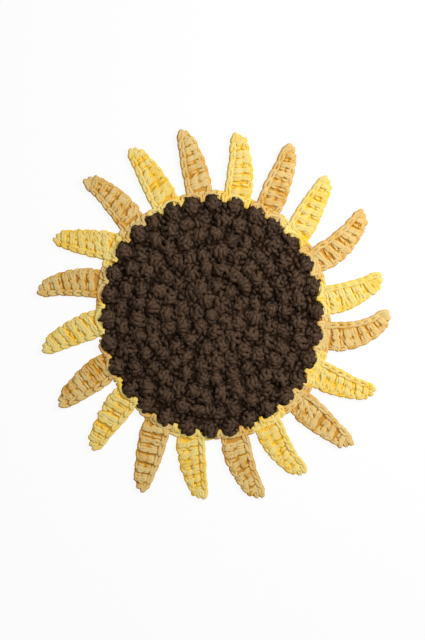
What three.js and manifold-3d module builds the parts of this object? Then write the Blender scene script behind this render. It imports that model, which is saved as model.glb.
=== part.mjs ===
// A sunflower dishcloth, crocheted in cotton and lying flat with its front up.
//
// The brown centre is one thick round cloth of bobble stitches: rounds of bobbles stand out from a
// plain crochet ground, and the last round gives the rim its scallops. Twenty petals, tan and yellow
// in turn, are each worked in single yarn: a foot of three stitches sits in the rim's edge, under
// the bobbles, and a tapered blade leans out from it. Millimetres, +Z up, on the surface at z = 0.

import * as THREE from "three";
import { mergeVertices } from "three/addons/utils/BufferGeometryUtils.js";
import Module from "manifold-3d";

const wasm = await Module();
wasm.setup();

// ---- Driving dimensions, in millimetres and degrees ----

const CLEARANCE = 0.3; // between neighbouring pieces

// The finished centre is pulled a little taller than it is wide.
const PULL = { across: 0.965, down: 1.035 };

const CENTRE = {
  radius: 82, // to the tips of the rim's bobbles
  scallops: 30,
  firstScallop: 4.5, // the angle of its tip
  scallopDepth: 5,
  stepsPerScallop: 4,
  groundTop: 6.4, // between the rounds of bobbles
  bobbleTop: 9.4, // on a round of bobbles
  roundPitch: 10.8, // from one round of bobbles to the next
  rounds: 6, // inside the rim's round
};

const PETAL = {
  thickness: 4.4,
  edgeHeight: 2.1, // where the sides are widest
  chamfer: 0.9, // how far the upper and lower faces stop short of the sides
  bumps: 8, // stitch ends along the clockwise edge
  bumpDepth: 1,
  tuck: 2.5, // how far a blade runs back into its foot
};

const FOOT = {
  inner: 75.6, // the feet sit in the centre's edge from here
  steps: 4,
};

// The half-widths of a blade from its root (0) to its tip (1), as parts of its full width. The
// clockwise edge tapers early and the other edge, a chain of stitch tops, stays nearly straight.
const BLADE = [
  { at: 0.0, chainSide: 0.44, bumpSide: 0.42 },
  { at: 0.18, chainSide: 0.52, bumpSide: 0.54 },
  { at: 0.45, chainSide: 0.48, bumpSide: 0.49 },
  { at: 0.7, chainSide: 0.39, bumpSide: 0.4 },
  { at: 0.93, chainSide: 0.31, bumpSide: 0.31 },
  { at: 1.0, chainSide: 0.18, bumpSide: 0.18 },
];

// One row for each petal, anticlockwise from the top. Angles are from +X about the centre and
// reaches are from the centre. A blade runs from its root to its tip, and its middle is bowed
// sideways, clockwise where bow is positive. The foot is joined to the next petal's out to join.
const PETALS = [
  { yarn: "tan", root: 95.2, rootReach: 85, tip: 98.6, tipReach: 130.5, bow: 0.5, width: 18.5, join: 84 },
  { yarn: "yellow", root: 112.1, rootReach: 82, tip: 115.3, tipReach: 128.8, bow: 1, width: 19.3, join: 84 },
  { yarn: "tan", root: 131, rootReach: 84, tip: 132.4, tipReach: 128.6, bow: 3, width: 19.2, join: 87.5 },
  { yarn: "yellow", root: 144.2, rootReach: 82, tip: 153.4, tipReach: 121.4, bow: 0, width: 19.4, join: 86 },
  { yarn: "tan", root: 164.4, rootReach: 78, tip: 171.7, tipReach: 121.2, bow: 3.5, width: 19.6, join: 83.5 },
  { yarn: "yellow", root: 183.2, rootReach: 78, tip: 191.2, tipReach: 118.8, bow: 1, width: 18.9, join: 82 },
  { yarn: "tan", root: 205.9, rootReach: 80, tip: 210, tipReach: 121.7, bow: 0, width: 20.4, join: 82 },
  { yarn: "yellow", root: 223.3, rootReach: 80, tip: 228, tipReach: 123.8, bow: 0.5, width: 19.1, join: 83 },
  { yarn: "tan", root: 243.4, rootReach: 83, tip: 247.9, tipReach: 131, bow: 0, width: 19.7, join: 85.5 },
  { yarn: "yellow", root: 260.4, rootReach: 84, tip: 267.2, tipReach: 126.8, bow: 2, width: 19.5, join: 83 },
  { yarn: "tan", root: 281.6, rootReach: 85, tip: 285.3, tipReach: 130.5, bow: 3.5, width: 19.7, join: 85 },
  { yarn: "yellow", root: 298.6, rootReach: 83, tip: 300.6, tipReach: 127, bow: 4, width: 19.5, join: 86 },
  { yarn: "tan", root: 315.6, rootReach: 85, tip: 317.2, tipReach: 131.8, bow: 0.5, width: 19.6, join: 88 },
  { yarn: "yellow", root: 332.3, rootReach: 82, tip: 335.1, tipReach: 125.5, bow: 2.5, width: 19.3, join: 88 },
  { yarn: "tan", root: 351, rootReach: 80, tip: 360.8, tipReach: 123.8, bow: 6.8, width: 19.6, join: 86.5 },
  { yarn: "yellow", root: 368.3, rootReach: 79, tip: 373.1, tipReach: 121.6, bow: 3.6, width: 19.6, join: 86 },
  { yarn: "tan", root: 388.4, rootReach: 83, tip: 394.3, tipReach: 128.2, bow: 4.5, width: 18.8, join: 86.5 },
  { yarn: "yellow", root: 403.6, rootReach: 83, tip: 409.8, tipReach: 125.4, bow: 0.3, width: 18.3, join: 85.5 },
  { yarn: "tan", root: 422.1, rootReach: 84, tip: 424.8, tipReach: 131, bow: 0.7, width: 18.4, join: 84 },
  { yarn: "yellow", root: 438.1, rootReach: 84, tip: 441.8, tipReach: 127.7, bow: 2.5, width: 18.7, join: 85 },
];

const YARNS = {
  brown: { color: "#3e322a", roughness: 0.95, metalness: 0 },
  tan: { color: "#e4b976", roughness: 0.9, metalness: 0 },
  yellow: { color: "#f5de7d", roughness: 0.9, metalness: 0 },
};

// ---- Shape tools ----

const radians = THREE.MathUtils.degToRad;

// The point at an angle and a reach from the centre, pulled as the cloth is.
function pulled(angle, reach, z) {
  const x = PULL.across * reach * Math.cos(angle);
  const y = PULL.down * reach * Math.sin(angle);
  return new THREE.Vector3(x, y, z);
}

// How far to turn back a plain angle in degrees, so that the pull brings it to where it was.
function unpulled(angle) {
  const [x, y] = [Math.cos(radians(angle)), Math.sin(radians(angle))];
  const cross = x * y * (1 / PULL.down - 1 / PULL.across);
  const dot = (x * x) / PULL.across + (y * y) / PULL.down;
  return angle + THREE.MathUtils.radToDeg(Math.atan2(cross, dot));
}

// A closed body through rings of points that each have the same count, its two ends closed.
function loft(rings) {
  const count = rings[0].length;
  const positions = [];
  const corner = (ring, i) => positions.push(...rings[ring][i % count].toArray());
  for (let ring = 0; ring + 1 < rings.length; ring += 1) {
    for (let i = 0; i < count; i += 1) {
      corner(ring, i);
      corner(ring, i + 1);
      corner(ring + 1, i + 1);
      corner(ring, i);
      corner(ring + 1, i + 1);
      corner(ring + 1, i);
    }
  }
  const last = rings.length - 1;
  for (const [ring, forward] of [[0, false], [last, true]]) {
    const middle = new THREE.Vector3();
    rings[ring].forEach((p) => middle.addScaledVector(p, 1 / count));
    for (let i = 0; i < count; i += 1) {
      corner(ring, forward ? i : i + 1);
      corner(ring, forward ? i + 1 : i);
      positions.push(...middle.toArray());
    }
  }
  const geometry = new THREE.BufferGeometry();
  geometry.setAttribute("position", new THREE.Float32BufferAttribute(positions, 3));
  return mergeVertices(geometry, 1e-4);
}

function solidOf(geometry) {
  const vertProperties = geometry.getAttribute("position").array;
  const triVerts = new Uint32Array(geometry.index.array);
  return new wasm.Manifold(new wasm.Mesh({ numProp: 3, vertProperties, triVerts }));
}

function geometryOf(solid) {
  const { vertProperties, triVerts } = solid.getMesh();
  const geometry = new THREE.BufferGeometry();
  geometry.setAttribute("position", new THREE.BufferAttribute(vertProperties, 3));
  geometry.setIndex(new THREE.BufferAttribute(triVerts, 1));
  return geometry;
}

function yarnMesh(name, geometry, yarn) {
  const shown = geometry.toNonIndexed();
  shown.computeVertexNormals();
  const mesh = new THREE.Mesh(shown, new THREE.MeshStandardMaterial(YARNS[yarn]));
  mesh.name = name;
  return mesh;
}

// ---- The brown centre ----

// The even angles of a ring's points, in degrees, from the tip of the first scallop.
function ringSteps() {
  const steps = CENTRE.scallops * CENTRE.stepsPerScallop;
  return Array.from({ length: steps }, (_, i) => CENTRE.firstScallop + (360 * i) / steps);
}

// Where an even angle falls on the cloth, in radians: the rim's stitches crowd a little.
function leaned(even) {
  const lean = 0.5 * Math.cos(radians(even)) + 1.8 * Math.cos(radians(2 * even - 148));
  return radians(even - 1.3 + lean);
}

// One ring of the centre that keeps to the rounded scallops of the rim, inset by so much. The rim
// reaches a little more here than there.
function rimRing(inset, depth, z) {
  return ringSteps().map((even) => {
    const angle = leaned(even);
    const scallop = Math.cos(radians(((even - CENTRE.firstScallop) * CENTRE.scallops) / 2));
    const uneven = 0.8 * Math.cos(6 * angle - radians(162)) + 0.5 * Math.cos(3 * angle);
    const reach = CENTRE.radius + uneven - depth * (1 - Math.abs(scallop));
    return pulled(angle, reach - inset, z);
  });
}

function roundRing(reach, z) {
  return ringSteps().map((even) => pulled(leaned(even), reach, z));
}

function centrePiece() {
  const wall = FOOT.inner - CLEARANCE;
  const eaves = PETAL.thickness + CLEARANCE;
  const { scallopDepth, groundTop, bobbleTop, roundPitch, rounds } = CENTRE;
  const rings = [
    roundRing(wall - 1, 0),
    roundRing(wall, 1),
    roundRing(wall, eaves),
    rimRing(1, scallopDepth, eaves + 0.1),
    rimRing(0, scallopDepth, 6.4),
    rimRing(1.4, scallopDepth * 0.8, 8.2),
    rimRing(6, scallopDepth * 0.3, bobbleTop),
  ];
  for (let round = rounds; round > 0; round -= 1) {
    rings.push(roundRing((round + 0.5) * roundPitch, groundTop));
    rings.push(roundRing(round * roundPitch, bobbleTop));
  }
  rings.push(roundRing(roundPitch / 2, groundTop));
  return yarnMesh("flower_centre", loft(rings), "brown");
}

// ---- The petals ----

// The cross-section of a flat strip between two side points, six points round.
function stripSection(chainSide, bumpSide) {
  const inward = bumpSide.clone().sub(chainSide).setLength(PETAL.chamfer);
  const at = (side, push, z) => side.clone().addScaledVector(inward, push).setZ(z);
  return [
    at(chainSide, 1, 0),
    at(chainSide, 0, PETAL.edgeHeight),
    at(chainSide, 1, PETAL.thickness),
    at(bumpSide, -1, PETAL.thickness),
    at(bumpSide, 0, PETAL.edgeHeight),
    at(bumpSide, -1, 0),
  ];
}

function bladeHalfWidth(column, at) {
  const next = Math.max(1, BLADE.findIndex((row) => row.at >= at));
  const [low, high] = [BLADE[next - 1], BLADE[next]];
  const share = (at - low.at) / (high.at - low.at);
  return THREE.MathUtils.lerp(low[column], high[column], share);
}

// The blade's centreline starts inside the foot.
function bladeLine(petal) {
  const point = (angle, reach) =>
    new THREE.Vector3(reach * Math.cos(radians(angle)), reach * Math.sin(radians(angle)), 0);
  const root = point(petal.root, petal.rootReach);
  const tip = point(petal.tip, petal.tipReach);
  const along = tip.clone().sub(root).normalize();
  root.addScaledVector(along, -PETAL.tuck);
  const clockwise = new THREE.Vector3(along.y, -along.x, 0);
  const middle = root.clone().add(tip).multiplyScalar(0.5);
  middle.addScaledVector(clockwise, 2 * petal.bow);
  return new THREE.QuadraticBezierCurve3(root, middle, tip);
}

function blade(petal) {
  const line = bladeLine(petal);
  const stations = PETAL.bumps * 2;
  const rings = [];
  for (let i = 0; i <= stations; i += 1) {
    const at = i / stations;
    const centre = line.getPointAt(at);
    const along = line.getTangentAt(at);
    const clockwise = new THREE.Vector3(along.y, -along.x, 0);
    const valley = i % 2 === 0 && i < stations ? PETAL.bumpDepth : 0;
    const chainSide = petal.width * bladeHalfWidth("chainSide", at);
    const bumpSide = petal.width * bladeHalfWidth("bumpSide", at) - valley;
    rings.push(
      stripSection(
        centre.clone().addScaledVector(clockwise, -chainSide),
        centre.clone().addScaledVector(clockwise, bumpSide),
      ),
    );
  }
  return loft(rings);
}

// The foot is a short arc along the rim, from the join with one neighbour to the other's.
function foot(from, to) {
  const rings = [];
  for (let i = 0; i <= FOOT.steps; i += 1) {
    const angle = radians(THREE.MathUtils.lerp(from.angle, to.angle, i / FOOT.steps));
    const outer = THREE.MathUtils.lerp(from.reach, to.reach, i / FOOT.steps);
    rings.push(stripSection(pulled(angle, FOOT.inner, 0), pulled(angle, outer, 0)));
  }
  return loft(rings);
}

// A petal's join with the petal after it, half-way between their roots.
function join(index) {
  const count = PETALS.length;
  const petal = PETALS[(index + count) % count];
  const next = PETALS[(index + 1) % count];
  const turn = (next.root - petal.root + 360) % 360;
  return { angle: unpulled(petal.root + turn / 2), reach: petal.join };
}

function petalPiece(index, name) {
  const petal = PETALS[index];
  const gap = THREE.MathUtils.radToDeg(CLEARANCE / 2 / FOOT.inner);
  const from = join(index - 1);
  const to = join(index);
  if (index === 0) from.angle -= 360;
  from.angle += gap;
  to.angle -= gap;
  const whole = solidOf(blade(petal)).add(solidOf(foot(from, to)));
  return yarnMesh(name, geometryOf(whole), petal.yarn);
}

// ---- The whole cloth, its outline centred on the origin ----

const flower = new THREE.Group();
flower.add(centrePiece());
PETALS.forEach((petal, index) => {
  const number = String(Math.floor(index / 2) + 1).padStart(2, "0");
  flower.add(petalPiece(index, `petal_${petal.yarn}_${number}`));
});

const outline = new THREE.Box3().setFromObject(flower);
const middle = outline.getCenter(new THREE.Vector3());
flower.position.set(-middle.x, -middle.y, 0);

const cloth = new THREE.Group();
cloth.add(flower);

export default cloth;
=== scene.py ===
# %% [markdown]
# # A crocheted sunflower dishcloth
#
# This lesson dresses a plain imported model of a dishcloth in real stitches. The cloth has a thick brown
# centre, worked in the round in doubled cotton with rounds of bobbles, and twenty slim petals in single
# tan and yellow cotton.
#
# Crochet could be a bumpy material on a smooth shape, or one modelled stitch repeated like a tile. Here
# it is built from yarn: each visible strand is a curve with a section that twists along it. Strands that
# pass over strands are what crochet is, and they give it a true outline and true shadows. Under the
# strands lies a thin ground sheet, which stands for the yarn inside the fabric and closes small holes.

import bmesh
import bpy
import math
import mathutils
import numpy as np
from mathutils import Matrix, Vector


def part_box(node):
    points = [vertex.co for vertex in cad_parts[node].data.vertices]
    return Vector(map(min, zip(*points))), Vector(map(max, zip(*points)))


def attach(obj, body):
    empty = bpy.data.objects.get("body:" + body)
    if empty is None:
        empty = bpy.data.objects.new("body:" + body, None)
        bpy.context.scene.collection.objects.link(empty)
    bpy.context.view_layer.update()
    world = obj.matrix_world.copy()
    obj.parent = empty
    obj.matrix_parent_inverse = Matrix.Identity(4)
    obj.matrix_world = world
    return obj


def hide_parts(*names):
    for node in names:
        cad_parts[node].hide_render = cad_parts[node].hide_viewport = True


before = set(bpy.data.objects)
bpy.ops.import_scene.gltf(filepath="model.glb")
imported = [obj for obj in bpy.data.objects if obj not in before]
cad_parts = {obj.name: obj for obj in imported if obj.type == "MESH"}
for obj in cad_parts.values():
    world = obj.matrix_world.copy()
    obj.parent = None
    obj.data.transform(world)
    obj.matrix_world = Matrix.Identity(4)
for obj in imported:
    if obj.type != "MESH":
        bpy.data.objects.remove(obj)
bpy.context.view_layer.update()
print("Blender", bpy.app.version_string, "with", len(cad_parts), "nodes in the frame")

# %% [markdown]
# ## Units and places
#
# The sizes below are in millimetres, because yarn and hooks are sold that way. Blender works in metres
# here, so every point is multiplied by MM once, where a strand or a sheet is made. The middle of the
# flower is not quite the middle of its outline, since the petals lean. It could be typed in as a number,
# but it is found from the centre piece's box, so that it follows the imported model. That piece's uneven
# rim reaches a little further one way, which is taken off again.

# %% Units, the middle of the flower and the pull
MM = 0.001
PULL_ACROSS, PULL_DOWN = 0.965, 1.035  # the worked round is pulled a little taller than wide
RIM_LEANS = (0.48, -0.03)  # how far the rim's box is off the middle of the round, in mm

low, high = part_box("flower_centre")
HUB_X = (low.x + high.x) / 2 / MM - RIM_LEANS[0]
HUB_Y = (low.y + high.y) / 2 / MM - RIM_LEANS[1]


def in_round(angle, reach, z):
    """A point at an angle in degrees and a reach in mm from the middle, pulled as the cloth is."""
    turn = math.radians(angle)
    return (
        HUB_X + PULL_ACROSS * reach * math.cos(turn),
        HUB_Y + PULL_DOWN * reach * math.sin(turn),
        z,
    )


print(f"middle of the flower: {HUB_X:.2f}, {HUB_Y:.2f} mm")

# %% [markdown]
# ## White paper
#
# The cloth lies on white paper. A plain white surface would come out grey, or burn out where the lamp
# is strong. So to the camera the paper is mostly a glowing white, and a tenth of the lit paper is mixed
# in to keep the soft shadow that the petals cast. To the light it is ordinary paper, which throws light
# back under the petals.


# %% The nodes that every material starts from
def node_tree(name):
    """A new material and its nodes, links and output."""
    material = bpy.data.materials.new(name)
    material.use_nodes = True
    tree = material.node_tree
    tree.nodes.clear()
    output = tree.nodes.new("ShaderNodeOutputMaterial")
    return material, tree, output


def maths(tree, operation, *values):
    """The result of a sum on some values, each a number or the socket of another node."""
    node = tree.nodes.new("ShaderNodeMath")
    node.operation = operation
    for place, value in zip(node.inputs, values):
        if isinstance(value, bpy.types.NodeSocket):
            tree.links.new(value, place)
        else:
            place.default_value = value
    return node.outputs[0]


print("materials of the plain model:", len(bpy.data.materials))


# %% From faces to an object in the scene
def mesh_from(bm, name):
    """A mesh of what was made in a bmesh, which is freed."""
    mesh = bpy.data.meshes.new(name)
    bm.to_mesh(mesh)
    bm.free()
    return mesh


def put_in_scene(mesh, material):
    """An object of a mesh in one material."""
    mesh.materials.clear()
    mesh.materials.append(material)
    made = bpy.data.objects.new(mesh.name, mesh)
    bpy.context.scene.collection.objects.link(made)
    return made


# %% The paper
PAPER_WHITE = (0.9, 0.9, 0.9, 1)
PAPER_GLOW = 0.9  # the share of the glow in what the camera sees
PAPER_HALF = 8  # m from its middle to each side, so that no edge comes into view


def paper_material():
    material, tree, output = node_tree("white_paper")
    lit = tree.nodes.new("ShaderNodeBsdfDiffuse")
    lit.inputs["Color"].default_value = PAPER_WHITE
    glow = tree.nodes.new("ShaderNodeEmission")
    glow.inputs["Strength"].default_value = 1.0
    rays = tree.nodes.new("ShaderNodeLightPath")
    seen = maths(tree, "MAXIMUM", rays.outputs["Is Camera Ray"], rays.outputs["Is Glossy Ray"])
    seen = maths(tree, "MAXIMUM", seen, rays.outputs["Is Transmission Ray"])
    mix = tree.nodes.new("ShaderNodeMixShader")
    tree.links.new(maths(tree, "MULTIPLY", seen, PAPER_GLOW), mix.inputs["Fac"])
    tree.links.new(lit.outputs[0], mix.inputs[1])
    tree.links.new(glow.outputs[0], mix.inputs[2])
    tree.links.new(mix.outputs[0], output.inputs["Surface"])
    return material


bm = bmesh.new()
bmesh.ops.create_grid(bm, x_segments=1, y_segments=1, size=PAPER_HALF)
paper = put_in_scene(mesh_from(bm, "paper"), paper_material())
print("paper:", 2 * PAPER_HALF, "m wide")

# %% [markdown]
# ## Light
#
# Dark brown and pale yellow lie side by side, and a hard light would lose one of them. An even white
# sky alone would lose the stitches, since it has no direction. So the sky gives a part, and one round
# soft lamp over the right side gives the rest. It is low enough for each bobble to have a dark side.

# %% The sky and the lamp
SKY_STRENGTH = 0.40
LAMP_PLACE = (0.38, 0.19, 0.44)  # m from the middle of the cloth
LAMP_WIDTH = 0.4  # m
LAMP_POWER = 3.5  # W

world = bpy.data.worlds.new("soft_sky")
world.use_nodes = True
sky = world.node_tree.nodes["Background"]
sky.inputs["Color"].default_value = (1, 1, 1, 1)
sky.inputs["Strength"].default_value = SKY_STRENGTH
bpy.context.scene.world = world

lamp = bpy.data.lights.new("soft_lamp", "AREA")
lamp.shape = "DISK"
lamp.size = LAMP_WIDTH
lamp.energy = LAMP_POWER
lamp_holder = bpy.data.objects.new("soft_lamp", lamp)
lamp_holder.location = LAMP_PLACE
lamp_holder.rotation_euler = mathutils.Vector(LAMP_PLACE).to_track_quat("Z", "Y").to_euler()
bpy.context.scene.collection.objects.link(lamp_holder)
print("lamp:", LAMP_POWER, "W, sky:", SKY_STRENGTH)

# %% [markdown]
# ## Camera
#
# A flat cloth is looked at from straight above. The camera could stand close with a wide lens, but then
# the high bobbles would lean outwards. A long lens from a metre up keeps them upright. Its height
# follows from the lens and from how much of the surface the upright picture takes in.

# %% The camera straight above
FRAME_HEIGHT = 448.0  # mm of the surface that the upright picture takes in
LENS = 85.0  # mm
SENSOR = 36.0  # mm
LOOK_PAST_HUB = (1.05, -2.8)  # mm from the middle of the flower to the middle of the picture

view = bpy.data.cameras.new("view_from_above")
view.sensor_fit = "VERTICAL"
view.sensor_height = SENSOR
view.lens = LENS
camera = bpy.data.objects.new("view_from_above", view)
camera.location = (
    (HUB_X + LOOK_PAST_HUB[0]) * MM,
    (HUB_Y + LOOK_PAST_HUB[1]) * MM,
    FRAME_HEIGHT * LENS / SENSOR * MM,
)
bpy.context.scene.collection.objects.link(camera)
bpy.context.scene.camera = camera
bpy.context.scene.view_settings.view_transform = "Standard"
print(f"camera {camera.location.z:.3f} m above the surface")

# %% [markdown]
# ## Yarn
#
# Cotton yarn is plied: four thin plies twist round each other. Each ply could be a strand of its own,
# but that takes four times the faces. A curve with a bevel object gives nearly the same for less. The
# section is a ring of eight corners that stand out and in by turns, one ridge for each ply, and the
# curve's tilt grows along the strand, so the ridges wind round it. The centre is worked with two yarns
# held together. Its section is longer one way, with a lobe for each yarn.


# %% Sections for single and doubled yarn
YARN = 1.5  # mm, the radius of a single strand
GROOVE = 0.95 * YARN  # the radius between two plies
DOUBLED_LOBE = [2.15, 2.0, 1.7, 2.0]  # mm, the radii of half of a doubled strand


def section(name, radii):
    """A closed outline for a curve's bevel, from the radii at equal angles, in mm."""
    outline = bpy.data.curves.new(name, "CURVE")
    outline.dimensions = "2D"
    ring = outline.splines.new("POLY")
    ring.points.add(len(radii) - 1)
    ring.use_cyclic_u = True
    for i, radius in enumerate(radii):
        turn = 2 * math.pi * i / len(radii)
        ring.points[i].co = (radius * MM * math.cos(turn), radius * MM * math.sin(turn), 0, 1)
    return bpy.data.objects.new(name, outline)


single_section = section("single_yarn", [YARN, GROOVE] * 4)
double_section = section("doubled_yarn", DOUBLED_LOBE * 2)
print("single yarn:", 2 * YARN, "mm, doubled yarn:", 2 * max(DOUBLED_LOBE), "mm across")

# %% [markdown]
# ### From a few points to a strand
#
# A stitch is drawn as a few points. A Bezier curve could join them, but its handles would have
# to be kept for each point. Instead a smooth curve runs through the points, each stretch guided by the
# points before and after it, and it is cut into short equal steps. Equal steps keep the twist of the
# plies even.

# %% A smooth, evenly stepped path
FINE_STEPS = 8  # between two drawn points, before the path is cut into equal steps


def fine_path(points, closed):
    """Points close together on a smooth curve through a few points."""
    here = np.array(points, float)
    if closed:
        before, after, beyond = (np.roll(here, shift, axis=0) for shift in (1, -1, -2))
    else:
        ends = np.vstack([2 * here[0] - here[1], here, 2 * here[-1] - here[-2]])
        before, here, after, beyond = ends[:-3], ends[1:-2], ends[2:-1], ends[3:]
    t = np.linspace(0, 1, FINE_STEPS, endpoint=False)[None, :, None]
    before, here, after, beyond = (p[:, None, :] for p in (before, here, after, beyond))
    fine = 0.5 * (
        2 * here
        + (after - before) * t
        + (2 * before - 5 * here + 4 * after - beyond) * t**2
        + (3 * here - before - 3 * after + beyond) * t**3
    )
    fine = fine.reshape(-1, 3)
    last = fine[:1] if closed else np.array(points[-1:], float)
    return np.vstack([fine, last])


def smooth_path(points, closed, step):
    """Points about a step apart on that curve, and its length."""
    fine = fine_path(points, closed)
    along = np.concatenate([[0], np.cumsum(np.linalg.norm(np.diff(fine, axis=0), axis=1))])
    length = along[-1]
    count = max(4, round(length / step))
    at = np.linspace(0, length, count if closed else count + 1, endpoint=not closed)
    return np.stack([np.interp(at, along, fine[:, k]) for k in range(3)], axis=1), length


square = [(0, 0, 0), (10, 0, 0), (10, 10, 0), (0, 10, 0)]
print(f"a loop through the corners of a 10 mm square: {smooth_path(square, True, 1)[1]:.1f} mm long")

# %% [markdown]
# ### Skeins
#
# A real skein is one length of yarn. Here a skein gathers all the strands of one piece in one curve and
# turns them into one mesh. Each strand could be an object of its own, but then there would be thousands.
# First comes what happens to that mesh. A curve's end caps come as separate discs, so their corners are
# welded to the strand. Then the faces are turned outwards, and one round of smoothing takes the hardness
# out of the ridges.

# %% Clean up a mesh of strands
WELD = 0.001  # mm


def clean_strands(mesh):
    """Weld on the end caps, turn the faces outwards and smooth the ridges once."""
    bm = bmesh.new()
    bm.from_mesh(mesh)
    bmesh.ops.remove_doubles(bm, verts=bm.verts, dist=WELD * MM)
    bmesh.ops.recalc_face_normals(bm, faces=bm.faces)
    bmesh.ops.smooth_vert(
        bm, verts=bm.verts, factor=0.5, use_axis_x=True, use_axis_y=True, use_axis_z=True
    )
    bm.to_mesh(mesh)
    bm.free()
    mesh.polygons.foreach_set("use_smooth", np.ones(len(mesh.polygons), bool))


print("corners closer than", WELD, "mm are welded")

# %% [markdown]
# A strand of the skein is one spline of the curve. Its tilt turns the plies: on a closed loop it makes
# whole turns, so that the ridges meet where the loop closes. Its radius can swell and thin a little, as
# a tight stitch does. No strand may sink into the paper, so low points are lifted until it rests there.

# %% A skein of strands
STEP = 1.1  # mm between two rings of a strand
DOUBLE_STEP = 1.35
SINGLE_LAY = 11.0  # mm in which the plies go once round
DOUBLE_LAY = 11.0
SWELL_PITCH = 4.2  # mm between two swellings of a tight stitch


class Skein:
    """Strands that become one mesh piece."""

    def __init__(self, name, bevel, lay, step=STEP):
        self.name, self.lay, self.step = name, lay, step
        self.radius = max(p.co.xyz.length for p in bevel.data.splines[0].points) / MM
        self.curve = bpy.data.curves.new(name, "CURVE")
        self.curve.dimensions = "3D"
        self.curve.bevel_mode = "OBJECT"
        self.curve.bevel_object = bevel
        self.curve.use_fill_caps = True
        self.length = 0.0

    def strand(self, points, closed=True, phase=0.0, thick=1.0, swelling=0.0):
        """phase turns the plies, and swelling makes the strand thick and thin by turns."""
        path, length = smooth_path(points, closed, self.step)
        path[:, 2] = np.maximum(path[:, 2], self.radius * thick)
        turns = length / self.lay
        if closed:
            turns = max(1, round(turns))
        count = len(path)
        spline = self.curve.splines.new("POLY")
        spline.points.add(count - 1)
        spline.use_cyclic_u = closed
        spline.points.foreach_set("co", np.hstack([path * MM, np.ones((count, 1))]).ravel())
        along = np.arange(count) / count
        spline.points.foreach_set("tilt", phase + 2 * math.pi * turns * along)
        swells = max(1, round(length / SWELL_PITCH))
        swell = 1 + swelling * np.cos(2 * math.pi * swells * along + 3 * phase)
        spline.points.foreach_set("radius", thick * swell)
        self.length += length

    def piece(self, material):
        """The finished mesh object of all the strands."""
        holder = bpy.data.objects.new(self.name + "_curve", self.curve)
        bpy.context.scene.collection.objects.link(holder)
        mesh = bpy.data.meshes.new_from_object(
            holder.evaluated_get(bpy.context.evaluated_depsgraph_get())
        )
        bpy.data.objects.remove(holder)
        clean_strands(mesh)
        mesh.name = self.name
        return put_in_scene(mesh, material)


print("one turn of the plies every", SINGLE_LAY, "mm")

# %% [markdown]
# ## Cotton, dyed three ways
#
# Dyed cotton is matt and soft. Light sinks into it, so its hollows and the sides of its strands glow
# deeper in colour and don't turn grey. Subsurface light would show that, but it is slow, and it shifts
# the hue of a yellow. So that shade is painted into the colour instead: each yarn has a light colour
# and a deep one, and three things move a place from one to the other: its height in the cloth, painted
# as shade low in the fabric and as light on the highest strands; how far it faces up or down, painted
# as shade on the sides of the strands; and an uneven dye. The height is measured from the middle of the
# fabric, and up and down count the same, so that the back has the yarn's own colour too.

# %% Smooth steps for colours
PATCH_SCALE = 110  # the dye changes every centimetre or so
PATCH_DETAIL = 2
PATCH_SHARE = 1.5
PAINTED_TOP_LIGHT = 0.2  # painted light: the highest strands are made paler
PAINTED_FACE_SHADE = 0.15  # painted shade on what faces straight up or down
PAINTED_SIDE_SHADE = 0.25  # painted shade on what faces sideways, and each yarn adds its own to this


def smooth_step(tree, value, start, end, result_start, result_end):
    """A value that goes smoothly from one result to another between a start and an end."""
    node = tree.nodes.new("ShaderNodeMapRange")
    node.interpolation_type = "SMOOTHSTEP"
    node.inputs["From Min"].default_value = start
    node.inputs["From Max"].default_value = end
    node.inputs["To Min"].default_value = result_start
    node.inputs["To Max"].default_value = result_end
    tree.links.new(value, node.inputs["Value"])
    return node.outputs[0]


def part_of(tree, vector, axis):
    """One axis of a vector."""
    split = tree.nodes.new("ShaderNodeSeparateXYZ")
    tree.links.new(vector, split.inputs[0])
    return split.outputs[axis]


def noise(tree, vector, scale, detail):
    node = tree.nodes.new("ShaderNodeTexNoise")
    node.inputs["Scale"].default_value = scale
    node.inputs["Detail"].default_value = detail
    tree.links.new(vector, node.inputs["Vector"])
    return node.outputs["Fac"]


def lightness(tree, where, depth, hollows, sides, facing_from):
    """How light the cotton is at a place: painted shade and light from the height and the facing, and the
    dye.
    """
    low, high = depth
    above = maths(tree, "SUBTRACT", part_of(tree, where.outputs["Object"], "Z"), low * MM)
    away = maths(tree, "ABSOLUTE", above)
    # painted shade low in the fabric, and painted light on the highest strands
    by_height = smooth_step(tree, away, 0, (high - low) * MM, -hollows, PAINTED_TOP_LIGHT)
    up_or_down = maths(tree, "ABSOLUTE", part_of(tree, where.outputs["Normal"], "Z"))
    # painted shade on the sides of the strands
    by_facing = smooth_step(tree, up_or_down, facing_from, 1.0, -sides - PAINTED_SIDE_SHADE, -PAINTED_FACE_SHADE)
    painted_shade = maths(tree, "ADD", by_facing, by_height)
    patch = noise(tree, where.outputs["Object"], PATCH_SCALE, PATCH_DETAIL)
    return maths(tree, "MULTIPLY_ADD", patch, PATCH_SHARE, painted_shade)


print("a change of dye every", round(1 / PATCH_SCALE / MM), "mm")

# %% [markdown]
# ### Plies and fibres
#
# Up close the grooves between the plies lie in shade, painted here as a slightly darker colour, and short
# fibres run along the strand.
# More corners in the section could show them, at the cost of many faces. They are too fine for that, so
# a wave round the strand and a combed noise along it make a faint bump. Both follow the strand's own UV
# map, whose second axis goes round it. A weak sheen stands for the fuzz, and a rough diffuse surface
# spreads the light as loose fibres do.

# %% Plies, fibres and dye
FIBRES = (16, 26, 1)  # along and round the strand
PLY_SHADE = 0.06
PLY_HEIGHT = 0.45  # of the height of a fibre
BUMP_STRENGTH = 0.08
BUMP_HEIGHT = 0.4  # mm
DEEP_AT, LIGHT_AT = 0.1, 0.8  # levels with the full deep and the full light colour


def ply_wave(tree, where, plies):
    """A value that rises and falls once for each ply round the strand."""
    round_strand = maths(tree, "MULTIPLY", part_of(tree, where.outputs["UV"], "Y"), 2 * math.pi * plies)
    return maths(tree, "COSINE", round_strand)


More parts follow.
